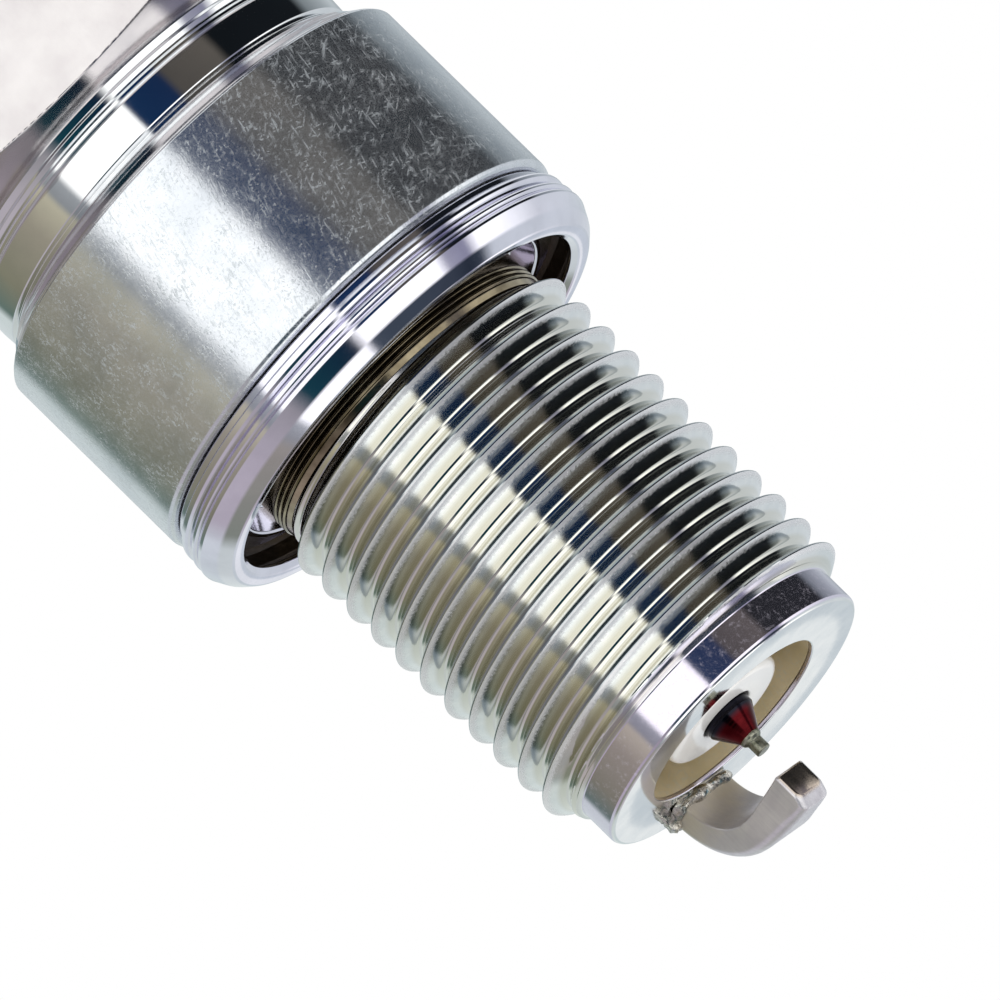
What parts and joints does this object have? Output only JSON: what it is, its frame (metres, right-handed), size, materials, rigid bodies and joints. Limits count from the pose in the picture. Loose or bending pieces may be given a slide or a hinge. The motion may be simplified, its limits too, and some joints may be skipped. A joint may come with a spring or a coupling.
{
  "type": "spark plug",
  "caption": "Threaded spark plug with a folded captive gasket, hexagon, ribbed insulator, removable terminal nut and a strap bent over a fine-wire electrode.",
  "frame": {"origin": "centre of the flange's seat plane, on the plug's axis", "axes": "+Z along the plug's axis towards the terminal; -Y square to one flat of the hexagon"},
  "size_m": [0.024, 0.0208, 0.0744],
  "materials": {
    "plated_steel": "rolled and turned steel with bright nickel plating",
    "gasket_steel": "bright folded sheet steel",
    "nickel_strap": "drawn nickel alloy, satin, heat-tinted near the weld",
    "nickel_electrode": "turned nickel alloy",
    "precious_metal": "satin precious-metal wire",
    "glazed_alumina": "white alumina, glazed above the shell and matte at the nose",
    "terminal_plating": "bright nickel plating",
    "conductive_glass": "dark sintered glass and metal powder",
    "carbon_glass": "black sintered carbon and glass",
    "copper": "plain copper",
    "packing_steel": "plain steel wire and sheet",
    "talc": "pressed talc powder"
  },
  "bodies": {
    "plug": {"shell": "plated_steel", "ground_electrode": "nickel_strap", "centre_electrode": "nickel_electrode", "electrode_core": "copper", "firing_tip": "precious_metal", "insulator": "glazed_alumina", "terminal_stud": "terminal_plating", "upper_glass_seal": "conductive_glass", "resistor": "carbon_glass", "lower_glass_seal": "conductive_glass", "seat_packing": "packing_steel", "lower_packing_ring": "packing_steel", "talc_fill": "talc", "upper_packing_ring": "packing_steel"},
    "gasket": {"gasket": "gasket_steel"},
    "terminal_nut": {"terminal_nut": "terminal_plating"}
  },
  "joints": [
    {"name": "gasket_float", "type": "slide", "parent": "plug", "child": "gasket", "axis": [0, 0, -1], "range_m": [0, 0.002]},
    {"name": "terminal_nut_lift", "type": "slide", "parent": "plug", "child": "terminal_nut", "axis": [0, 0, 1], "range_m": [0, 0.012]}
  ]
}
